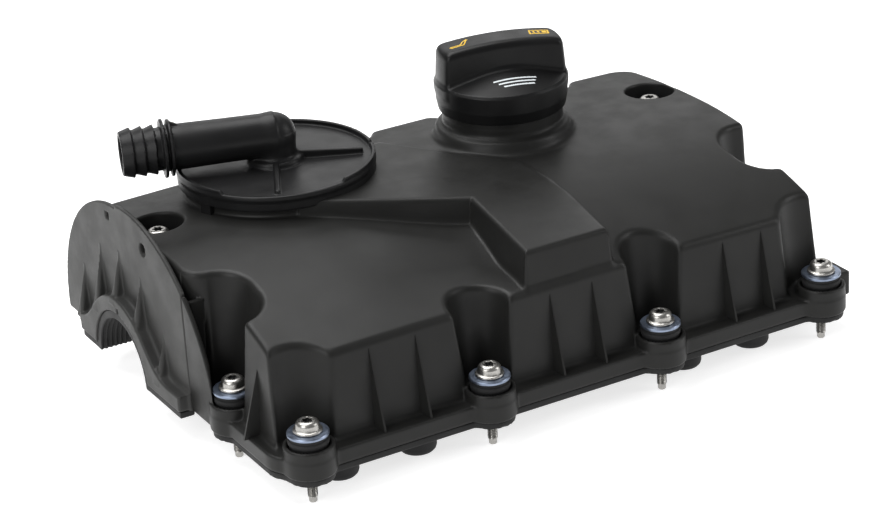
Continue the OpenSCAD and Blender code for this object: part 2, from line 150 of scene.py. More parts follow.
def polygon(points, r=0.0):
    """An upright prism over a polygon swollen by r."""
    points = [np.array(q, float) for q in points]

    def distance(p):
        best = np.full_like(p[0], 1e9)
        inside = np.zeros(p[0].shape, bool)
        for a, b in zip(points, points[1:] + points[:1]):
            ex, ey = b - a
            wx, wy = p[0] - a[0], p[1] - a[1]
            t = np.clip((wx * ex + wy * ey) / (ex * ex + ey * ey), 0, 1)
            best = np.minimum(best, (wx - t * ex) ** 2 + (wy - t * ey) ** 2)
            crosses = (a[1] > p[1]) != (b[1] > p[1])
            if ey:
                inside ^= crosses & (wx < ex * wy / ey)
        return np.where(inside, -1, 1) * np.sqrt(best) - r
    return distance


def ball(cx, cy, cz, r):
    """A sphere."""
    return lambda p: np.sqrt((p[0] - cx) ** 2 + (p[1] - cy) ** 2 + (p[2] - cz) ** 2) - r


def above(z):
    """Everything above a height."""
    return lambda p: z - p[2]


def below(z):
    """Everything below a height."""
    return lambda p: p[2] - z


def round_min(a, b, r):
    """The lesser of two distances, blended over r."""
    if r <= 0:
        return np.minimum(a, b)
    h = np.maximum(r - np.abs(a - b), 0) / r
    return np.minimum(a, b) - h * h * r / 4


def union(*shapes, r=0.0):
    """Shapes joined with a fillet that is about r wide."""
    def distance(p):
        d = shapes[0](p)
        for s in shapes[1:]:
            d = round_min(d, s(p), r)
        return d
    return distance


def both(*shapes, r=0.0):
    """What the shapes share, with edges rounded over about r."""
    def distance(p):
        d = shapes[0](p)
        for s in shapes[1:]:
            d = -round_min(-d, -s(p), r)
        return d
    return distance


def cut(shape, *tools, r=0.0):
    """The shape without the tools, with the new edges rounded over about r."""
    def distance(p):
        d = shape(p)
        for t in tools:
            d = -round_min(-d, t(p), r)
        return d
    return distance


def grown(shape, by):
    """The shape, thicker all round."""
    return lambda p: shape(p) - by


def leaning(shape, z, lean):
    """An upright shape whose sides lean inwards above height z."""
    return lambda p: shape(p) + (p[2] - z) * lean


def along_x(shape):
    """Turns an upright shape so that its plan lies in the YZ plane."""
    return lambda p: shape((p[1], p[2], p[0]))


def turned(shape, angle, cx=0.0, cy=0.0):
    """Moves a shape's origin to (cx, cy) and turns it by angle about +Z."""
    c, s = math.cos(angle), math.sin(angle)

    def distance(p):
        x, y = p[0] - cx, p[1] - cy
        return shape((c * x + s * y, c * y - s * x, p[2]))
    return distance


def spun(profile):
    """A solid of revolution about Z from a shape in radius and height."""
    return lambda p: profile((np.hypot(p[0], p[1]), p[2], p[2]))


def spun_x(profile):
    """A solid of revolution about X from a shape in radius and distance."""
    return lambda p: profile((np.hypot(p[1], p[2]), p[0], p[0]))


def lifted(shape, z):
    """The shape, moved up."""
    return lambda p: shape((p[0], p[1], p[2] - z))


def near(shape, low, high, margin=5.0):
    """The shape, worked out only near its box; farther off, the distance to the box stands in."""
    low, high = np.array(low, float), np.array(high, float)
    mid, size = (low + high) / 2, (high - low) / 2

    def distance(p):
        q = [np.maximum(np.abs(p[i] - mid[i]) - size[i], 0) for i in range(3)]
        far = np.sqrt(q[0] ** 2 + q[1] ** 2 + q[2] ** 2)
        close = far < margin
        if close.all():
            return shape(p)
        if close.any():
            far[close] = np.maximum(shape(tuple(c[close] for c in p)), -1e3)
        return far
    return distance


# ---------------------------------------------------------------- meshing
BLOCK = 8
CORNERS = np.array([(i, j, k) for i in (0, 1) for j in (0, 1) for k in (0, 1)])
EDGES = [(a, b) for a in range(8) for b in range(a + 1, 8) if abs(CORNERS[a] - CORNERS[b]).sum() == 1]


def sample(shape, points):
    """The distances at points, an array of any shape that ends in 3."""
    flat = points.reshape(-1, 3)
    out = np.empty(len(flat))
    for i in range(0, len(flat), 400_000):
        part = flat[i:i + 400_000]
        out[i:i + 400_000] = shape(tuple(np.ascontiguousarray(part[:, k]) for k in range(3)))
    return out.reshape(points.shape[:-1])


def gradient(shape, points, reach):
    """The distances at points and their gradient."""
    signs = np.array([(1, 1, 1), (1, -1, -1), (-1, 1, -1), (-1, -1, 1)], float)
    values = [sample(shape, points + s * reach) for s in signs]
    slope = sum(v[:, None] * s for v, s in zip(values, signs)) / (4 * reach)
    return sum(values) / 4, slope


def active_blocks(shape, low, counts, step):
    """Corners, in grid steps, of the blocks that the surface may pass through."""
    size = BLOCK * 4
    tops = [np.arange(0, n, size) for n in counts]
    found = np.stack(np.meshgrid(*tops, indexing="ij"), -1).reshape(-1, 3)
    while True:
        centres = low + (found + size / 2) * step
        found = found[np.abs(sample(shape, centres)) < size * step * 1.05]
        if size == BLOCK:
            return found
        size //= 2
        found = (found[:, None, :] + CORNERS[None] * size).reshape(-1, 3)


def surface(shape, low, high, step):
    """Vertices, quads and normals of a shape's surface within a box: surface nets on active blocks."""
    low, high = np.array(low, float) - 2 * step, np.array(high, float) + 2 * step
    counts = np.ceil((high - low) / step).astype(int) + 1
    span = counts + 2 * BLOCK
    blocks = active_blocks(shape, low, counts, step)
    local = np.stack(np.meshgrid(*[np.arange(BLOCK + 1)] * 3, indexing="ij"), -1)
    cell_ids, cell_points, crossings = [], [], []
    for start in range(0, len(blocks), 400):
        corner = blocks[start:start + 400]
        grid = corner[:, None, None, None, :] + local
        values = sample(shape, low + grid * step)
        inside = values < 0
        parts = [values[:, i:BLOCK + i, j:BLOCK + j, k:BLOCK + k] for i, j, k in CORNERS]
        signs = sum((v < 0).astype(np.int8) for v in parts)
        b, i, j, k = np.nonzero((signs > 0) & (signs < 8))
        corner_values = np.stack([v[b, i, j, k] for v in parts], -1)
        cell = corner[b] + np.stack([i, j, k], -1)
        total, number = np.zeros((len(b), 3)), np.zeros(len(b))
        for m, n in EDGES:
            vm, vn = corner_values[:, m], corner_values[:, n]
            hit = (vm < 0) != (vn < 0)
            t = np.where(hit, vm / np.where(hit, vm - vn, 1), 0)[:, None]
            total += np.where(hit[:, None], CORNERS[m] + t * (CORNERS[n] - CORNERS[m]), 0)
            number += hit
        cell_ids.append((cell[:, 0] * span[1] + cell[:, 1]) * span[2] + cell[:, 2])
        cell_points.append(cell + total / number[:, None])
        for axis in range(3):
            here = [slice(None)] + [slice(0, BLOCK)] * 3
            there = list(here)
            there[1 + axis] = slice(1, BLOCK + 1)
            a, c = inside[tuple(here)], inside[tuple(there)]
            b, i, j, k = np.nonzero(a != c)
            at = corner[b] + np.stack([i, j, k], -1)
            crossings.append((axis, at, a[b, i, j, k]))
    ids = np.concatenate(cell_ids)
    order = np.argsort(ids)
    ids, points = ids[order], np.concatenate(cell_points)[order] * step + low
    quads = []
    for axis, at, outwards in crossings:
        u, v = (axis + 1) % 3, (axis + 2) % 3
        ring = []
        for du, dv in ((0, 0), (1, 0), (1, 1), (0, 1)):
            cell = at.copy()
            cell[:, u] -= du
            cell[:, v] -= dv
            ring.append((cell[:, 0] * span[1] + cell[:, 1]) * span[2] + cell[:, 2])
        ring = np.stack(ring, -1)
        ring[~outwards] = ring[~outwards][:, ::-1]
        quads.append(ring)
    quads = np.concatenate(quads)
    index = np.clip(np.searchsorted(ids, quads), 0, len(ids) - 1)
    index = index[(ids[index] == quads).all(1)]
    for _ in range(2):
        value, slope = gradient(shape, points, step * 0.1)
        length = np.maximum((slope ** 2).sum(1, keepdims=True), 0.05)
        points = points - np.clip(value[:, None] * slope / length, -step * 0.5, step * 0.5)
    _, slope = gradient(shape, points, 0.12)
    normals = slope / np.maximum(np.linalg.norm(slope, axis=1, keepdims=True), 1e-9)
    return points, index, normals


def mesh_object(name, points, quads, normals=None):
    """A smooth object from points in millimetres."""
    mesh = bpy.data.meshes.new(name)
    mesh.vertices.add(len(points))
    mesh.vertices.foreach_set("co", ((np.asarray(points) + SHIFT) * MM).astype(np.float32).ravel())
    mesh.loops.add(quads.size)
    mesh.loops.foreach_set("vertex_index", quads.astype(np.int32).ravel())
    mesh.polygons.add(len(quads))
    mesh.polygons.foreach_set("loop_start", np.arange(len(quads), dtype=np.int32) * quads.shape[1])
    mesh.update(calc_edges=True)
    mesh.validate()
    mesh.polygons.foreach_set("use_smooth", np.ones(len(mesh.polygons), bool))
    if normals is not None and len(mesh.vertices) == len(normals):
        mesh.normals_split_custom_set_from_vertices(normals.astype(np.float32))
    obj = bpy.data.objects.new(name, mesh)
    bpy.context.scene.collection.objects.link(obj)
    return obj


def moulded(name, shape, low, high, step, material, body, slot_name, *nodes):
    """Meshes a distance function and puts it in the place of CAD nodes."""
    obj = mesh_object(name, *surface(shape, low, high, step))
    return finish_piece(obj, material, body, slot_name, *nodes)


def finish_piece(obj, material, body, slot_name, *nodes):
    """Gives a piece its material and body, and hides the CAD nodes it stands for."""
    obj.data.materials.clear()
    obj.data.materials.append(material)
    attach(obj, body)
    if nodes:
        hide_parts(*nodes)
    return obj


def lathe(profile, segments=96, cx=0.0, cy=0.0):
    """Points and quads of an outline in radius and height turned about an upright axis."""
    angles = np.linspace(0, 2 * np.pi, segments, endpoint=False)
    profile = np.array(profile, float)
    n = len(profile)
    r, z = profile[:, 0], profile[:, 1]
    points = np.stack([cx + r[None] * np.cos(angles)[:, None], cy + r[None] * np.sin(angles)[:, None],
                       np.broadcast_to(z, (segments, n))], -1).reshape(-1, 3)
    i, j = np.meshgrid(np.arange(segments), np.arange(n), indexing="ij")
    k, m = (i + 1) % segments, (j + 1) % n
    quads = np.stack([i * n + j, k * n + j, k * n + m, i * n + m], -1).reshape(-1, 4)
    return points, quads


def copies(points, quads, places):
    """One mesh of a shape at several places, each given as x, y, z and a turn in degrees."""
    all_points, all_quads = [], []
    for x, y, z, turn in places:
        c, s = math.cos(math.radians(turn)), math.sin(math.radians(turn))
        moved = np.stack([points[:, 0] * c - points[:, 1] * s + x, points[:, 0] * s + points[:, 1] * c + y,
                          points[:, 2] + z], -1)
        all_quads.append(quads + len(points) * len(all_points))
        all_points.append(moved)
    return np.concatenate(all_points), np.concatenate(all_quads)


def sharpen(obj, degrees=35):
    """Marks edges over an angle as sharp, so that flat faces stay flat."""
    obj.data.set_sharp_from_angle(angle=math.radians(degrees))
    return obj


# ---------------------------------------------------------------- materials
def node_material(name):
    """A material with a Principled shader, and short ways to add and link nodes."""
    mat = bpy.data.materials.new(name)
    mat.use_nodes = True
    tree = mat.node_tree
    shader = tree.nodes["Principled BSDF"]

    def add(kind, **settings):
        node = tree.nodes.new(kind)
        for key, value in settings.items():
            if key in node.inputs:
                node.inputs[key].default_value = value
            else:
                setattr(node, key, value)
        return node
    return mat, tree.links.new, shader, add


def ramp(add, link, source, stops):
    """A colour ramp over a value socket; each stop is a place and a grey or a colour."""
    node = add("ShaderNodeValToRGB")
    node.color_ramp.interpolation = "EASE"
    while len(node.color_ramp.elements) < len(stops):
        node.color_ramp.elements.new(0.5)
    for element, (place, colour) in zip(node.color_ramp.elements, stops):
        element.position = place
        colour = (colour,) * 3 if isinstance(colour, float) else colour
        element.color = (*colour, 1)
    link(source, node.inputs[0])
    return node.outputs[0]


def moulded_plastic(name, colour, rough, grain=0.00012, scale=2600.0, mottle=0.12, specular=0.2):
    """Moulded plastic: fine spark-eroded grain, faint flow mottling and uneven gloss."""
    mat, link, shader, add = node_material(name)
    place = add("ShaderNodeTexCoord").outputs["Object"]
    flow = add("ShaderNodeTexNoise", Scale=14.0, Detail=4.0, Roughness=0.55)
    link(place, flow.inputs["Vector"])
    base = np.array(colour)
    dark, light = tuple(base * (1 - mottle)), tuple(base * (1 + mottle))
    link(ramp(add, link, flow.outputs[0], [(0.35, dark), (0.65, light)]), shader.inputs["Base Color"])
    fine = add("ShaderNodeTexNoise", Scale=scale, Detail=2.0, Roughness=0.6)
    link(place, fine.inputs["Vector"])
    patch = add("ShaderNodeTexNoise", Scale=45.0, Detail=5.0, Roughness=0.6)
    link(place, patch.inputs["Vector"])
    link(ramp(add, link, patch.outputs[0], [(0.3, rough - 0.05), (0.7, rough + 0.06)]),
         shader.inputs["Roughness"])
    bump = add("ShaderNodeBump", Strength=0.35, Distance=grain)
    link(fine.outputs[0], bump.inputs["Height"])
    link(bump.outputs[0], shader.inputs["Normal"])
    shader.inputs["Specular IOR Level"].default_value = specular
    return mat


def plated_metal(name, colour, rough, tint=0.1, scratches=900.0):
    """Plated steel: slightly cloudy colour, turning marks and small scratches."""
    mat, link, shader, add = node_material(name)
    place = add("ShaderNodeTexCoord").outputs["Object"]
    cloud = add("ShaderNodeTexNoise", Scale=160.0, Detail=4.0, Roughness=0.6)
    link(place, cloud.inputs["Vector"])
    base = np.array(colour)
    dark, light = tuple(base * (1 - tint)), tuple(base * (1 + tint))
    link(ramp(add, link, cloud.outputs[0], [(0.3, dark), (0.7, light)]), shader.inputs["Base Color"])
    stretch = add("ShaderNodeMapping", Scale=(1.0, 1.0, 6.0))
    link(place, stretch.inputs["Vector"])
    marks = add("ShaderNodeTexNoise", Scale=scratches, Detail=3.0, Roughness=0.7)
    link(stretch.outputs[0], marks.inputs["Vector"])
    link(ramp(add, link, marks.outputs[0], [(0.3, rough - 0.07), (0.7, rough + 0.1)]),
         shader.inputs["Roughness"])
    bump = add("ShaderNodeBump", Strength=0.2, Distance=0.00005)
    link(marks.outputs[0], bump.inputs["Height"])
    link(bump.outputs[0], shader.inputs["Normal"])
    shader.inputs["Metallic"].default_value = 1.0
    return mat


cover_black = moulded_plastic("cover_black", (0.0128, 0.0128, 0.0122), 0.4, mottle=0.06)
guard_black = moulded_plastic("guard_black", (0.03, 0.03, 0.029), 0.45, mottle=0.2)
cap_black = moulded_plastic("cap_black", (0.005, 0.005, 0.0052), 0.38, scale=1800.0, specular=0.2)
regulator_black = moulded_plastic("regulator_black", (0.0085, 0.0085, 0.0088), 0.38, specular=0.2)
inner_black = moulded_plastic("inner_black", (0.03, 0.03, 0.029), 0.5)
plug_black = moulded_plastic("plug_black", (0.035, 0.033, 0.03), 0.45)
plate_white = moulded_plastic("plate_white", (0.55, 0.53, 0.48), 0.4, mottle=0.05)
rubber_black = moulded_plastic("rubber_black", (0.016, 0.016, 0.0165), 0.62, scale=1500.0, mottle=0.2)
gasket_black = moulded_plastic("gasket_black", (0.014, 0.014, 0.014), 0.55, scale=1500.0, mottle=0.2)
diaphragm_black = moulded_plastic("diaphragm_black", (0.02, 0.02, 0.024), 0.5, scale=1500.0)
zinc_bright = plated_metal("zinc_bright", (0.40, 0.39, 0.37), 0.3)
# A dark copy of the bolt zinc that paints the shade inside the bolt recesses
zinc_painted_shade = plated_metal("zinc_painted_shade", (0.05, 0.05, 0.05), 0.45)
zinc_blue = plated_metal("zinc_blue", (0.22, 0.26, 0.34), 0.36, tint=0.15)
steel_turned = plated_metal("steel_turned", (0.55, 0.55, 0.55), 0.3)
mark_yellow = moulded_plastic("mark_yellow", (0.72, 0.45, 0.03), 0.5, mottle=0.05, specular=0.4)
mark_white = moulded_plastic("mark_white", (0.62, 0.66, 0.68), 0.5, mottle=0.05, specular=0.4)
spring_wire = plated_metal("spring_wire", (0.5, 0.5, 0.5), 0.28)


# ---------------------------------------------------------------- cover shell
WALL = 3.0
FLANGE_LOW = mm_box("cover_shell")[0][2]
FLANGE_TOP = FLANGE_LOW + 10
FLANGE_X, FLANGE_Y = 197.0, ROW_Y + 5.5
BOSS_R, BOSS_TOP = 14.8, 21.5
WELL_R, WELL_RISE = 15.8, 51.0
FRONT_LEAN, SIDE_LEAN, REAR_LEAN = 0.095, 0.045, 0.012
ROOF_TOP, ROOF_CREST, ROOF_FRONT, ROOF_REAR, ROOF_FALL = 94.0, 28.0, 0.00138, 0.0007, 2.0
TOWER_R, TOWER_TOP, TOWER_LOW = 57.2, 104.0, 62.0
NECK_R, NECK_TOP, NECK_BORE = 38.0, 119.5, 31.3
MOUND_R, MOUND_TOP = 43.5, 102.0
ARCH_Y, ARCH_R = 66.0, 33.0
CAM_OPENING = ARCH_R + 4.5
GUARD_X, GUARD_T, SEAM_Y, FIN_END = -197.0, 3.0, -16.0, -53.0
REAR_ARC, FORE_ARC = (70, 10, 93), (55, 0, 106)  # the guard's outline: middle in Y and Z, and radius
FRONT_WALL, SIDE_WALL, REAR_SIDE = -116.0, 189.0, 196
BOSS_BORE, SEAT_BORE, SEAT_Z = 6.2, 12.2, 16.0
CHAMBER_FLOOR, TRAY_TOP, SPLASH_TOP, SPLASH_ARM = 82.0, 60.5, 72.0, 35.0
TRAY_POSTS = ((-8, -88), (24, -88), (28, -20), (4, 24))
PORT_RING, PORT_R = 49.0, 4.0
DUCT_PLAN = [(-22, -106), (34, -106), (44, -50), (45, -25), (43, 5), (20, 33), (-16, 77), (-91, 71),
             (-106, 14), (-12, -28)]


def smooth(t):
    """A soft step from 0 to 1."""
    t = np.clip(t, 0, 1)
    return t * t * (3 - 2 * t)


def left_dip(p):
    """How far the roof dips towards the duct's left side."""
    beside = np.minimum(polygon(DUCT_PLAN)(p) + 2.0, np.where(p[0] < 12, 9.0, 0.0))
    depth = 10.5 * smooth((p[0] + 120) / 105) * smooth((p[1] + 115) / 48)
    return depth * smooth(beside / 0.5) * smooth((20 - p[1]) / 4)


def roof(depth=0.0):
    """The crowned roof, lowered by depth; solid below it."""
    def distance(p):
        y = p[1] - ROOF_CREST
        curve = np.where(y < 0, ROOF_FRONT, ROOF_REAR)
        slope = 2 * curve * y
        top = ROOF_TOP - curve * y * y - ROOF_FALL * (p[0] / CORNER_X) ** 2 - left_dip(p)
        return (p[2] - top) / np.sqrt(1 + slope * slope) + depth
    return distance


def walls(inset=0.0):
    """The leaning outer walls with their notches, moved in by inset."""
    front = both(leaning(block(-260, 260, FRONT_WALL, 60), FLANGE_TOP, FRONT_LEAN),
                 leaning(block(-SIDE_WALL, SIDE_WALL, -200, 60), FLANGE_TOP, SIDE_LEAN), r=4)
    side, corner = REAR_SIDE, REAR_SIDE - 16
    rear = leaning(polygon([(-corner, -4), (corner, -16), (corner, 103), (-corner, 103)], 16), FLANGE_TOP,
                   REAR_LEAN)
    rear = union(rear, leaning(polygon([(-side, -8), (side, -20), (side, 60), (-side, 60)]), FLANGE_TOP,
                               REAR_LEAN))
    notches = [leaning(slot(x, -109, x, -190, 13.5), FLANGE_TOP, -FRONT_LEAN)
               for x in (-INNER_X + 3.5, INNER_X + 3.5)]
    notches += [leaning(disc(x, y, 20), FLANGE_TOP, -FRONT_LEAN) for x, y in front_corners]
    notches += [leaning(union(slot(s * END_X, END_Y, s * END_X, END_Y + 10, 14),
                              block(s * 203 - 16, s * 203 + 16, END_Y - 14, END_Y + 24)),
                        FLANGE_TOP, -FRONT_LEAN) for s in (-1, 1)]
    notches += [leaning(disc(x, y, 15), FLANGE_TOP, -REAR_LEAN) for x, y in rear_bolts]
    body = cut(union(front, rear, r=4), *notches, r=3)
    return grown(body, -inset) if inset else body


def duct(inset=0.0):
    """The raised gas duct from the front wall to the regulator; its roof rises towards the regulator."""
    plan = polygon(DUCT_PLAN)

    def top(p):
        rise = 0.057 * np.clip(44 - p[0], 0, 150) * np.clip((p[1] + 110) / 124, 0, 1)
        return p[2] - (93.5 + 0.0313 * (p[1] - 5) + rise - inset)
    return both(leaning(grown(plan, -inset), 92, 0.12), top, r=3)


def flange_plan(inset=0.0):
    """Outline of the flange with its bosses."""
    plate = block(-FLANGE_X, FLANGE_X, -FLANGE_Y, FLANGE_Y, 22)
    return grown(union(plate, *[disc(x, y, BOSS_R) for x, y in flange_bolts], r=3), -inset)


def around(shape, x, y, r, low, high, margin=5.0):
    """near() for a shape that stands on an upright axis, between two heights."""
    return near(shape, (x - r, y - r, low), (x + r, y + r, high), margin)


def shell_outside():
    """The cover as a solid body with everything that stands on it."""
    shell = both(walls(), roof(), above(FLANGE_TOP - 4), r=3.6)
    shell = union(shell, near(duct(), (-112, -112, 60), (50, 90, 103)), r=2.5)
    tower = both(disc(REG_X, REG_Y, TOWER_R), below(TOWER_TOP), above(TOWER_LOW), r=2)
    shell = union(shell, around(tower, REG_X, REG_Y, 59, 60, 106), r=2.2)
    neck = union(both(disc(NECK_X, NECK_Y, NECK_R), below(NECK_TOP), above(80), r=1.5),
                 both(disc(NECK_X, NECK_Y, MOUND_R), below(MOUND_TOP), above(80), r=6), r=3)
    shell = union(shell, around(neck, NECK_X, NECK_Y, 47, 80, 121, margin=10), r=6)
    flange = both(flange_plan(), above(FLANGE_LOW), below(FLANGE_TOP), r=1.6)
    shell = union(shell, flange, r=3.5)
    bosses = [around(both(disc(x, y, BOSS_R), above(FLANGE_LOW), below(BOSS_TOP), r=1.2), x, y, 15, 4, 22)
              for x, y in flange_bolts]
    lug = both(block(186.5, 203.5, -117, -98, 2), above(FLANGE_LOW), below(BOSS_TOP - 1.5), r=1.2)
    shell = union(shell, union(*bosses, near(lug, (186, -118, 4), (204, -97, 21))), r=1.5)
    return union(shell, guard_fin())


def shell_inside():
    """The room under the cover, less the bosses, wells, posts and ribs that stand in it."""
    inside = both(walls(WALL), roof(WALL), r=4)
    inside = union(inside, near(duct(WALL), (-112, -112, 40), (50, 90, 103)), r=2)
    pocket = both(disc(REG_X, REG_Y, TOWER_R - WALL), below(CHAMBER_FLOOR - WALL), above(TOWER_LOW + WALL))
    inside = union(inside, around(pocket, REG_X, REG_Y, 59, 60, 80), r=1)
    skirt = block(-FLANGE_X + 8, FLANGE_X - 8, -FLANGE_Y + 8, FLANGE_Y - 8, 14)
    inside = union(inside, both(skirt, below(FLANGE_TOP - WALL)), r=1)
    stems = [around(disc(x, y, BOSS_R), x, y, 15, -9, 30) for x, y in flange_bolts]
    stems += [around(both(disc(x, y, WELL_R + WALL), above(61), r=1), x, y, 20, 61, 100)
              for x, y in well_bolts]
    stems += [around(both(disc(x, y, 4.5), above(TRAY_TOP)), x, y, 5, 60, 100) for x, y in TRAY_POSTS]
    stems += [around(both(disc(x, NECK_Y, 3), above(SPLASH_TOP)), x, NECK_Y, 4, 71, 100)
              for x in (NECK_X - SPLASH_ARM, NECK_X + SPLASH_ARM)]
    return cut(inside, *stems, inner_ribs(), r=1.5)


def shell_bores():
    """Bolt bores with their seats, the regulator's chamber and gas ports, and the filler bore."""
    bores = []
    for x, y, rise in [(x, y, 0) for x, y in flange_bolts] + [(x, y, WELL_RISE) for x, y in well_bolts]:
        bores.append(around(disc(x, y, BOSS_BORE), x, y, 7, 0, 90))
        seat = both(disc(x, y, SEAT_BORE), above(SEAT_Z + rise))
        bores.append(around(seat, x, y, 13, SEAT_Z + rise, 120))
    chamber = both(disc(REG_X, REG_Y, TOWER_R - WALL), above(CHAMBER_FLOOR))
    bores.append(around(chamber, REG_X, REG_Y, 59, CHAMBER_FLOOR, 120))
    for i in range(6):
        x, y = REG_X + PORT_RING * math.cos(i * math.pi / 3), REG_Y + PORT_RING * math.sin(i * math.pi / 3)
        bores.append(around(disc(x, y, PORT_R), x, y, 5, 70, 90))
    bores.append(around(disc(NECK_X, NECK_Y, NECK_BORE), NECK_X, NECK_Y, 32, 80, 120))
    return bores


def cover_shell():
    """The whole moulded cover."""
    shell = cut(shell_outside(), shell_inside(), r=1)
    wells = [around(both(disc(x, y, WELL_R), above(BOSS_TOP + WELL_RISE - 3), r=1), x, y, 17, 68, 120)
             for x, y in well_bolts]
    shell = cut(shell, *wells, r=2)
    shell = cut(shell, *shell_bores(), r=0.8)
    arch = both(along_x(disc(ARCH_Y, 0, CAM_OPENING)), lambda p: p[0] + 184)
    return cut(shell, near(arch, (-210, 20, -40), (-184, 110, 40)), r=1)


def inner_ribs():
    """Ribs under the roof that stiffen the moulding."""
    half, depth = 1.2, 7.0
    lines = [slot(x, -100, x, 104, half) for x in (-118, 118)]
    lines += [slot(x, -100, x, 10, half) for x in (-59, 85)]
    lines += [slot(-180, y, 180, y, half) for y in (-62, -18)]
    plan = union(*lines)
    return lambda p: np.maximum(plan(p), -(roof()(p) + WALL + depth))


def guard_faces():
    """The two faces and the foot of the guard's plate."""
    return lambda p: p[0] - GUARD_X, lambda p: GUARD_X - GUARD_T - p[0], above(FLANGE_LOW)


def guard_fin():
    """The cover's own narrow fin beside the end bolt, in line with the belt guard."""
    plan = both(disc(*FORE_ARC), lambda p: p[0] - SEAM_Y + 0.5, lambda p: FIN_END - p[0], r=1)
    fin = both(along_x(plan), *guard_faces(), r=1)
    web = both(block(GUARD_X - 0.5, -187, SEAM_Y - WALL, SEAM_Y), below(74), above(FLANGE_LOW), r=0.5)
    return near(union(fin, web, r=2), (-201, FIN_END - 1, 4), (-186, -15, 80))


mm_low, mm_high = mm_box("cover_shell")
moulded("cover_moulding", cover_shell(), mm_low - 1, mm_high + 1, 1.3, cover_black, "cover",
        "cover_plastic", "cover_shell")


# ---------------------------------------------------------------- ribs on the walls
RIB_TOP, RIB_FOOT, RIB_REACH, RIB_ROOT = 62.0, 2.3, 9.5, 1.5
FRONT_RIBS, END_RIB_Y = (-130, -100, -10, 19, 112, 140), -84.0


def wedge_rib():
    """Points and faces of a rib that stands out along -Y, pointed at its top and deep at its foot."""
    points = []
    for z, base, ridge, reach in ((FLANGE_TOP - 1, RIB_FOOT, 0.7, RIB_REACH), (RIB_TOP, 0.5, 0.25, 0.15)):
        wall = FRONT_LEAN * (z - FLANGE_TOP)
        points += [(-base, wall + RIB_ROOT, z), (-ridge, wall - reach, z), (ridge, wall - reach, z),
                   (base, wall + RIB_ROOT, z)]
    quads = [(3, 2, 1, 0), (4, 5, 6, 7)] + [(i, (i + 1) % 4, (i + 1) % 4 + 4, i + 4) for i in range(4)]
    return np.array(points, float), np.array(quads)


def rib_meshes():
    """The ribs on the front wall and one on each end wall."""
    points, quads = wedge_rib()
    spots = [(x, FRONT_WALL, 0, 0) for x in FRONT_RIBS]
    spots += [(s * (SIDE_WALL + 0.5), END_RIB_Y, 0, s * 90) for s in (-1, 1)]
    return copies(points, quads, spots)


sharpen(finish_piece(mesh_object("cover_ribs", *rib_meshes()), cover_black, "cover", "cover_plastic"), 20)


# ---------------------------------------------------------------- belt guard
GUSSETS = ((129.5, 45), (100, 69), (71.5, 74), (42, 67), (14.7, 41))
BAND_X, BAND_R, FOOT_TOP = -208.0, 47.0, 14.5


def gusset(y, top):
    """A spike of a rib that stands on the arch band and runs out on the plate."""
    foot = math.sqrt(max(BAND_R ** 2 - (y - ARCH_Y) ** 2, (FOOT_TOP + 1) ** 2)) - 4
    depth = GUARD_X - GUARD_T - BAND_X - 0.6

    def distance(p):
        t = np.clip((p[2] - foot) / (top - foot), 0, 1)
        side = np.abs(p[1] - y) - (0.5 + 3.6 * (1 - t) ** 1.3)
        face = (GUARD_X - GUARD_T - 0.2 - depth * (1 - t)) - p[0]
        d = -round_min(-side, -face, 2.5) * 0.9
        return np.maximum(np.maximum(d, p[2] - top), np.maximum(foot - p[2], p[0] - GUARD_X + 0.5))
    return near(distance, (BAND_X, y - 5, foot), (GUARD_X, y + 5, top))


def belt_guard():
    """Plate under two arcs, a band round the camshaft opening with straight feet, and five gussets."""
    rear = both(disc(*REAR_ARC), lambda p: REAR_ARC[0] - p[0])
    fore = both(disc(*FORE_ARC), lambda p: p[0] - REAR_ARC[0] - 1, r=0.5)
    plan = both(union(rear, fore), lambda p: SEAM_Y + 0.25 - p[0])
    plate = both(along_x(plan), *guard_faces(), r=1)
    feet = block(SEAM_Y + 0.25, ARCH_Y + 60, FLANGE_LOW - 20, FOOT_TOP)
    band = along_x(union(disc(ARCH_Y, 0, BAND_R), feet, r=22))
    band = both(band, lambda p: p[0] - GUARD_X, lambda p: BAND_X - p[0], above(FLANGE_LOW), r=1.6)
    guard = union(plate, band, r=3)
    guard = union(guard, *[gusset(y, top) for y, top in GUSSETS], r=1.5)
    opening = along_x(union(disc(ARCH_Y, 0, CAM_OPENING), slot(ARCH_Y - 2, 36, ARCH_Y - 2, 40.5, 1.1)))
    hole = along_x(disc(GUARD_HOLE[1], GUARD_HOLE[2], mount("guard_hole")["dims"]["r_mm"]))
    window = along_x(block(81, 86, 92, 96.5, 0.6))
    return cut(guard, opening, hole, window, r=0.8)


low, high = mm_box("belt_guard_plate")
moulded("belt_guard", belt_guard(), low - 1, high + 1, 1.0, guard_black, "cover", "guard_plastic",
        "belt_guard_plate")


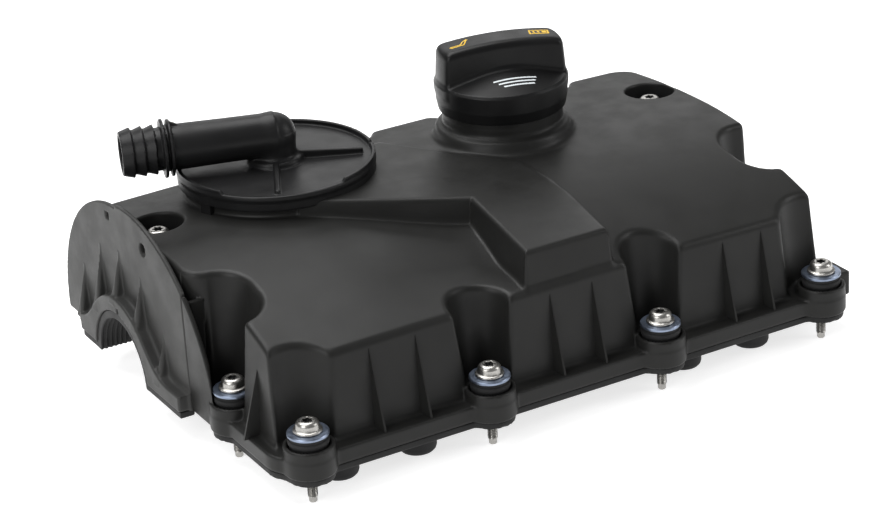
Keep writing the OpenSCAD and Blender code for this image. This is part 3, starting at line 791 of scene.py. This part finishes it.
# ---------------------------------------------------------------- gasket
def gasket():
    """A band under the flange with a groove, and a rippled half-round strip in the camshaft opening."""
    top = below(FLANGE_LOW - 0.05)
    band = both(flange_plan(1.0), above(0), top, r=1)
    inner = block(-FLANGE_X + 7.5, FLANGE_X - 7.5, -FLANGE_Y + 7.5, FLANGE_Y - 7.5, 14.5)
    inner = cut(inner, *[disc(x, y, 10) for x, y in flange_bolts], r=3)
    holes = [disc(x, y, BOSS_BORE) for x, y in flange_bolts]
    groove = lambda p: np.abs(np.abs(flange_plan(4.2)(p)) - 1.6) - 0.55
    band = cut(band, inner, *holes, both(groove, below(0.9)), r=0.5)
    strip = both(block(BAND_X + 1, GUARD_X - 0.5, SEAM_Y + 1, ARCH_Y + 59), above(0), top, r=1)
    liner = both(along_x(disc(ARCH_Y, 0, CAM_OPENING - 0.05)), lambda p: p[0] + 184.1,
                 lambda p: BAND_X + 1 - p[0], above(0), r=0.6)
    ripple = lambda p: np.hypot(p[1] - ARCH_Y, p[2]) - ARCH_R - 0.7 * np.cos(p[0] * 2 * np.pi / 3.2)
    return cut(union(band, strip, liner), near(ripple, (-212, 25, -40), (-180, 105, 40)), r=0.4)


low, high = mm_box("cover_gasket")
moulded("gasket", gasket(), low - 1, high + 1, 1.1, gasket_black, "cover", "gasket_rubber", "cover_gasket")


# ---------------------------------------------------------------- filler cap
CAP_R, CAP_LOW, CAP_TOP, GRIP_HALF = 42.0, 117.0, 157.0, 13.6
CAP_SKIRT, CAP_CROWN = CAP_LOW - 5, 225
GRIP_TURN = math.radians(-14)


def filler_cap():
    """A round cap with a crowned grip across it, hollow over the neck."""
    low = CAP_LOW
    skirt = spun(polygon([(0, CAP_SKIRT), (CAP_R - 1.8, CAP_SKIRT), (CAP_R - 0.5, low + 2),
                          (CAP_R, low + 13), (CAP_R - 1.2, low + 14.6), (14, low + 22.5), (0, low + 24)]))
    dome = ball(0, 0, CAP_TOP - CAP_CROWN, CAP_CROWN)
    grip = both(lambda p: np.abs(p[1]) - GRIP_HALF + (p[2] - low - 15) * 0.05, disc(0, 0, CAP_R),
                above(low + 8), lambda p: np.hypot(p[0], p[1]) - CAP_R + (p[2] - low - 12) * 0.1, r=3)
    grip = both(grip, dome, r=5)
    cap = union(both(skirt, above(CAP_SKIRT), r=1), grip, r=3)
    over_neck = both(disc(0, 0, NECK_R + 0.6), below(NECK_TOP + 2))
    cap = cut(cap, union(over_neck, both(disc(0, 0, 26.5), below(low + 16))), r=0.6)
    return turned(cap, GRIP_TURN, NECK_X, NECK_Y)


low, high = mm_box("filler_cap_shell")
low[2] = CAP_SKIRT
moulded("filler_cap", filler_cap(), low - 1, high + (1, 1, 8), 0.9, cap_black, "filler_cap", "cap_plastic",
        "filler_cap_shell")


# Printed marks on the cap: generic pictograms and plain bars, without lettering
CAN = [(-6, -2), (1, -2.6), (3.4, 0.6), (6.8, 2.8), (7.4, 2), (6.2, 1.4), (4.6, -1.2), (2.4, -4.2),
       (-5.4, -3.6)]
BOOK = [(-6.5, -3), (5.5, -3), (6.5, 3), (-5.5, 3)]
CAP_FOOT = np.array([NECK_X, NECK_Y, 0.0])


def printed(plan):
    """A thin film over the cap inside an upright plan, drawn along the grip."""
    cap, lift, sunk = filler_cap(), 0.1, 0.35
    return both(turned(plan, GRIP_TURN, NECK_X, NECK_Y), lambda p: cap(p) - lift, lambda p: -sunk - cap(p))


def outline(points, x, y, turn, width):
    """A closed line of a given width along a polygon's edge, turned and moved to (x, y)."""
    shape = polygon(points)
    return turned(lambda p: np.abs(shape(p)) - width / 2, math.radians(turn), x, y)


def cap_print(name, plan, low, high, material):
    """Puts a printed plan on the cap within a box drawn from the foot of the cap's axis."""
    low, high = low + CAP_FOOT, high + CAP_FOOT
    points, quads, normals = surface(near(printed(plan), low, high, 3), low, high, 0.35)
    finish_piece(mesh_object(name, points, quads, normals), material, "filler_cap", None)


marks = union(outline(CAN, -27, 0, 8, 1.0), outline(BOOK, 26, 0, 0, 1.2), block(22, 23.4, -1.6, 1.6),
              block(25, 26.4, -1.6, 1.6), block(28, 31, -1.6, 1.6))
cap_print("cap_pictograms", marks, (-40, -26, CAP_TOP - 12), (40, 26, CAP_TOP + 1), mark_yellow)
bars = union(*[block(-12 + 2.5 * i, 16 - 1.5 * i, -24.6 - 3.2 * i, -23.2 - 3.2 * i) for i in range(3)])
cap_print("cap_bars", bars, (-30, -45, CAP_LOW + 12), (20, -10, CAP_LOW + 24), mark_white)


# ---------------------------------------------------------------- regulator cap with its nozzle
DISC_R, DISC_TOP, RIM_TOP, RIM_LOW, SKIRT_LOW = 61.0, 107.0, 110.0, 107.6, 98.2
RIM_FALL = ((-73, -151), (-12, -17))
COLLAR_AT, CLIP_LOW, CLIP_TURNS = NOZZLE_REACH - 26, 88.0, (-163, -43, 77)


def rim_height(p):
    """The rim's top: lower where the disc is left open."""
    turn = np.degrees(np.arctan2(p[1] - REG_Y, p[0] - REG_X))
    low = np.zeros_like(turn)
    for end, start in RIM_FALL:
        low = np.maximum(low, np.clip((turn - start) / 3, 0, 1) * np.clip((end - turn) / 3, 0, 1))
    low = low * low * (3 - 2 * low)
    return RIM_TOP - (RIM_TOP - RIM_LOW) * low


def nozzle():
    """Tube, double collar and barbs along +X from the elbow."""
    r, root, barb = 14.0, 13.2, 15.5
    at = COLLAR_AT
    line = [(0, 0), (13.4, 0), (13.6, 30), (r, at - 12), (r, at - 5.4), (17.4, at - 5), (17.4, at - 3.4),
            (r, at - 3), (r, at - 1.4), (18, at - 1), (18, at + 0.8), (root, at + 1.2), (root, at + 5)]
    for start, end in ((5, 11), (12, 18), (19, 26)):
        line += [(barb, at + start), (root + 0.2, at + end), (root, at + end + 0.5)]
    line = line[:-1] + [(0, NOZZLE_REACH)]
    return spun_x(polygon(line))


def disc_radius(r):
    """Everything nearer than r to a turning axis."""
    return lambda p: p[0] - r


def regulator_cap():
    """Round plate with rim, skirt, clips and three blades; the elbow and the nozzle stand on it."""
    plate = spun(polygon([(0, 104), (DISC_R - 0.3, 104), (DISC_R - 0.3, DISC_TOP), (0, DISC_TOP)]))
    skirt = both(disc(0, 0, DISC_R), lambda p: TOWER_R + 0.5 - np.hypot(p[0], p[1]), above(SKIRT_LOW),
                 below(106), r=0.8)
    ring = both(disc(0, 0, DISC_R), lambda p: DISC_R - 2.3 - np.hypot(p[0], p[1]), above(105))
    base = both(disc(0, 0, 17), above(104), below(DISC_TOP + 3.6), r=2.5)
    riser = both(disc(0, 0, 13), above(104), below(NOZZLE_Z + 2))
    elbow = union(riser, ball(0, 0, NOZZLE_Z, 13.4), r=1)
    shape = union(union(plate, skirt, r=1), base, r=2)
    for angle, end in ((-116, 54), (-25, 52), (77, 50)):
        blade = slot(12, 0, end, 0, 1.5)
        top = 5.2 if angle == -25 else 4.0
        blade = both(blade, above(105), lambda p, t=top: p[2] - DISC_TOP - t + (p[0] - 14) * 0.045, r=1)
        shape = union(shape, turned(blade, math.radians(angle)), r=1)
    tube = turned(lifted(nozzle(), NOZZLE_Z), NOZZLE_TURN)
    fin_slope = lambda p: (p[2] - NOZZLE_Z - 13 - 4 * np.clip((p[0] - COLLAR_AT + 13) / 8, 0, 1)) * 0.8
    fin = both(lambda p: np.abs(p[1]) - 1.2, lambda p: NOZZLE_Z - p[2], fin_slope,
               lambda p: p[0] - COLLAR_AT + 4, lambda p: COLLAR_AT - 14 - p[0])
    shape = union(shape, union(elbow, tube, r=2.5), r=2.5)
    shape = union(shape, turned(fin, NOZZLE_TURN), r=0.8)
    seat = both(disc(0, 0, 13.5), above(96.3), below(105), r=0.8)
    shape = union(shape, seat, r=1)
    inner = TOWER_R + 0.3
    clip = union(both(block(inner, DISC_R - 0.4, -4.5, 4.5), above(CLIP_LOW), below(104), r=0.6),
                 both(block(inner, DISC_R + 0.6, -4.5, 4.5), above(CLIP_LOW), below(CLIP_LOW + 3), r=0.8))
    for angle in CLIP_TURNS:
        shape = union(shape, turned(clip, math.radians(angle)), r=0.5)
    placed = turned(shape, 0.0, REG_X, REG_Y)
    rim = both(turned(ring, 0.0, REG_X, REG_Y), lambda p: (p[2] - rim_height(p)) * 0.9, r=0.8)
    placed = union(placed, rim, r=1)
    bore = both(lifted(spun_x(disc_radius(NOZZLE_BORE)), NOZZLE_Z), lambda p: -3 - p[0])
    bores = union(both(disc(0, 0, NOZZLE_BORE - 0.5), below(NOZZLE_Z + 1)), turned(bore, NOZZLE_TURN), r=1)
    return cut(placed, turned(bores, 0.0, REG_X, REG_Y), r=0.8)


low, high = mm_box("regulator_cap")
low[2] = CLIP_LOW
moulded("regulator_cap_and_nozzle", regulator_cap(), low - 1, high + 1, 0.95, regulator_black, "cover",
        "regulator_plastic", "regulator_cap")


# ---------------------------------------------------------------- bolts, washers, grommets, cups
WASHER_TOP, BOLT_LOW = 29.0, mm_box("cover_bolts")[0][2]
THREAD_TOP, THREAD_LOW, PITCH = 0.0, BOLT_LOW + 3.2, 1.0
SEGMENTS = 48  # round a bolt and its recess


def recess_radius(turn):
    """Radius of the six-lobed recess."""
    return 2.75 + 0.5 * np.cos(6 * turn)


def ring_mesh(turn, r, z):
    """Points and quads of closed rings, given by radius and height at each angle."""
    points = np.stack([r * np.cos(turn), r * np.sin(turn), z], -1).reshape(-1, 3)
    i, j = np.meshgrid(np.arange(len(r) - 1), np.arange(SEGMENTS), indexing="ij")
    k = (j + 1) % SEGMENTS
    corners = [i * SEGMENTS + j, i * SEGMENTS + k, (i + 1) * SEGMENTS + k, (i + 1) * SEGMENTS + j]
    return points, np.stack(corners, -1).reshape(-1, 4)


def recess():
    """Painted shade in the recess: a dark cup with a flat floor, just inside the bolt's own recess."""
    turn = np.linspace(0, 2 * np.pi, SEGMENTS, endpoint=False)
    lobes = recess_radius(turn)
    r = np.stack([lobes - 0.05, lobes - 0.05, lobes * 0.5, np.full(SEGMENTS, 0.01)])
    z = WASHER_TOP + np.array([6.3, 3.9, 3.7, 3.7])[:, None] + np.zeros(SEGMENTS)
    return ring_mesh(turn, r, z)


def bolt():
    """Rings of one bolt from its dog point up over the head and down into the six-lobed recess."""
    turn = np.linspace(0, 2 * np.pi, SEGMENTS, endpoint=False)
    z0 = WASHER_TOP
    rings = [(0.01, BOLT_LOW), (2.0, BOLT_LOW), (2.4, BOLT_LOW + 0.5), (2.4, THREAD_LOW - 0.4)]
    rings = [(np.full(SEGMENTS, r), np.full(SEGMENTS, z)) for r, z in rings]
    for z in np.arange(THREAD_LOW, THREAD_TOP, PITCH / 5):
        phase = (z / PITCH - turn / (2 * np.pi)) % 1
        run = min(1, (z - THREAD_LOW) / 1.0, (THREAD_TOP - z) / 1.0)
        rings.append((2.45 + 0.55 * np.abs(2 * phase - 1) * run + 0.25 * (1 - run), np.full(SEGMENTS, z)))
    upper = [(2.7, THREAD_TOP + 0.2), (2.7, z0 - 0.2), (8.0, z0 + 0.02), (8.5, z0 + 0.35),
             (8.5, z0 + 1.1), (8.3, z0 + 1.5), (7.6, z0 + 1.8), (7.0, z0 + 2.0), (6.85, z0 + 2.3),
             (6.8, z0 + 4.3), (6.6, z0 + 5.1), (6.1, z0 + 5.9), (5.3, z0 + 6.5), (4.5, z0 + 6.8),
             (3.7, z0 + 6.9)]
    rings += [(np.full(SEGMENTS, r), np.full(SEGMENTS, z)) for r, z in upper]
    lobes = recess_radius(turn)
    inner = [(lobes + 0.12, z0 + 6.75), (lobes, z0 + 6.4), (lobes, z0 + 3.4), (0.01, z0 + 3.3)]
    rings += [(np.broadcast_to(r, SEGMENTS), np.full(SEGMENTS, z)) for r, z in inner]
    return ring_mesh(turn, np.stack([a for a, _ in rings]), np.stack([b for _, b in rings]))


places = [(x, y, 0, 37 * n) for n, (x, y) in enumerate(flange_bolts)]
places += [(x, y, WELL_RISE, 41 + 29 * n) for n, (x, y) in enumerate(well_bolts)]
bolts = mesh_object("torx_bolts", *copies(*bolt(), places))
sharpen(finish_piece(bolts, zinc_bright, "cover", "bolt_zinc", "cover_bolts"), 40)
# Painted shade: a dark cup inside each bolt's recess, not the zinc's own colour
finish_piece(mesh_object("bolt_recess_painted_shade", *copies(*recess(), places)), zinc_painted_shade, "cover", "bolt_zinc")


def turned_piece(name, profile, spots, material, slot_name, node):
    """Round pieces of one profile at several places, in the place of a CAD node."""
    obj = mesh_object(name, *copies(*lathe(profile), spots))
    sharpen(finish_piece(obj, material, "cover", slot_name, node))


washer = [(3.35, 27.2), (3.6, 27.0), (11.6, 27.0), (12.1, 27.4), (12.1, 28.5), (11.7, 29.0), (3.6, 29.0),
          (3.35, 28.8)]
turned_piece("washers", washer, places, zinc_blue, "washer_zinc", "bolt_washers")
grommet = [(4.15, 8.0), (5.7, 8.0), (6.0, 8.4), (6.0, 16.0), (11.0, 16.0), (11.2, 16.4), (11.2, 21.2),
           (11.5, 21.8), (11.8, 22.3), (11.8, 24.4), (11.5, 24.9), (10.9, 25.2), (10.9, 25.9), (11.2, 26.3),
           (11.2, 26.95), (4.15, 26.95)]
turned_piece("grommets", grommet, places, rubber_black, "grommet_rubber", "bolt_grommets")
cup_low, cup_y = mm_box("drain_cups")[0][2], middle("drain_cups")[1]
cup = [(2.5, cup_low), (8.3, cup_low), (9.8, cup_low + 0.6), (10.9, cup_low + 1.8), (11.4, cup_low + 3.4),
       (11.5, 4.0), (11.5, 11.4), (9.5, 11.4), (9.5, cup_low + 3.4), (8.8, cup_low + 2.6),
       (2.5, cup_low + 2.4)]
cup_spots = [(x, cup_y, 0, 0) for x in (-152, -101, 84, 134)]
turned_piece("drain_cups_round", cup, cup_spots, rubber_black, "drain_rubber", "drain_cups")


# ---------------------------------------------------------------- CAD nodes that stay, with their materials
for node, material in {
    "bolt_sleeves": steel_turned, "filler_cap_plug": plug_black, "filler_cap_seal": rubber_black,
    "filler_splash_plate": inner_black, "regulator_cup": inner_black,
    "regulator_diaphragm": diaphragm_black,
    "diaphragm_ring": inner_black, "diaphragm_plate": plate_white, "regulator_spring": spring_wire,
    "separator_tray": inner_black, "separator_baffles": inner_black, "tray_screws": zinc_bright,
}.items():
    slots = frame["nodes"][node].material_slots
    for i in range(len(slots)):
        slots[i].material = material


# ---------------------------------------------------------------- stage, light and camera
VIEW_AZIMUTH, VIEW_ELEVATION, VIEW_ROLL = math.radians(-28.72), math.radians(24.09), math.radians(-3.4)
CAMERA_PLACE = Vector((-789.96, -1401.21, 763.95)) * MM
SENSOR, LENS = 36.0, 118.3


def camera_axes():
    """Right, up and back of the camera."""
    a, e, r = VIEW_AZIMUTH, VIEW_ELEVATION, VIEW_ROLL
    back = Vector((math.sin(a) * math.cos(e), -math.cos(a) * math.cos(e), math.sin(e)))
    right = Vector((math.cos(a), math.sin(a), 0))
    up = back.cross(right)
    c, s = math.cos(r), math.sin(r)
    return c * right + s * up, -s * right + c * up, back


def make_camera():
    """The camera that matches the photo."""
    data = bpy.data.cameras.new("camera")
    data.sensor_width, data.lens = SENSOR, LENS
    data.clip_start, data.clip_end = 0.05, 20
    camera = bpy.data.objects.new("camera", data)
    bpy.context.scene.collection.objects.link(camera)
    right, up, back = camera_axes()
    turn = Matrix((right, up, back)).transposed().to_4x4()
    camera.matrix_world = Matrix.Translation(CAMERA_PLACE + Vector(SHIFT * MM)) @ turn
    bpy.context.scene.camera = camera


def area_light(name, place, target, size, power, colour=(1, 1, 1)):
    """A soft rectangular light turned to a target."""
    data = bpy.data.lights.new(name, "AREA")
    data.shape, data.energy, data.color = "RECTANGLE", power, colour
    data.size, data.size_y = size
    light = bpy.data.objects.new(name, data)
    bpy.context.scene.collection.objects.link(light)
    light.location = Vector(place) + Vector(SHIFT * MM)
    light.rotation_euler = (Vector(target) - Vector(place)).to_track_quat("-Z", "Y").to_euler()


def make_stage():
    """The white floor, the background and the lights."""
    size = 6.0
    floor_z = cad_box[0][2]
    mesh = bpy.data.meshes.new("floor")
    corners_xy = [(-size, -size), (size, -size), (size, size), (-size, size)]
    mesh.from_pydata([(x, y, floor_z) for x, y in corners_xy], [], [(0, 1, 2, 3)])
    floor = bpy.data.objects.new("floor", mesh)
    bpy.context.scene.collection.objects.link(floor)
    mat, link, shader, add = node_material("floor_white")
    noise = add("ShaderNodeTexNoise", Scale=30.0, Detail=2.0)
    link(ramp(add, link, noise.outputs[0], [(0.3, 0.6), (0.7, 0.62)]), shader.inputs["Base Color"])
    shader.inputs["Roughness"].default_value = 0.9
    shader.inputs["Emission Color"].default_value = (1, 1, 1, 1)
    shader.inputs["Emission Strength"].default_value = 0.74
    mesh.materials.append(mat)
    world = bpy.data.worlds.new("studio")
    bpy.context.scene.world = world
    world.use_nodes = True
    world.node_tree.nodes["Background"].inputs["Color"].default_value = (1, 1, 1, 1)
    world.node_tree.nodes["Background"].inputs["Strength"].default_value = 0.25
    area_light("top", (-0.2, 0.5, 1.6), (0, 0, 0.05), (1.6, 1.2), 34)
    area_light("back", (1.0, 1.9, 1.05), (0, 0, 0.05), (2.4, 1.0), 10)
    area_light("left", (-1.5, -0.6, 0.9), (0, 0, 0.05), (0.9, 1.2), 14)
    area_light("right", (1.4, -0.9, 0.8), (0, 0, 0.05), (0.5, 1.0), 8)
    bpy.context.scene.view_settings.view_transform = "Standard"


make_stage()
make_camera()
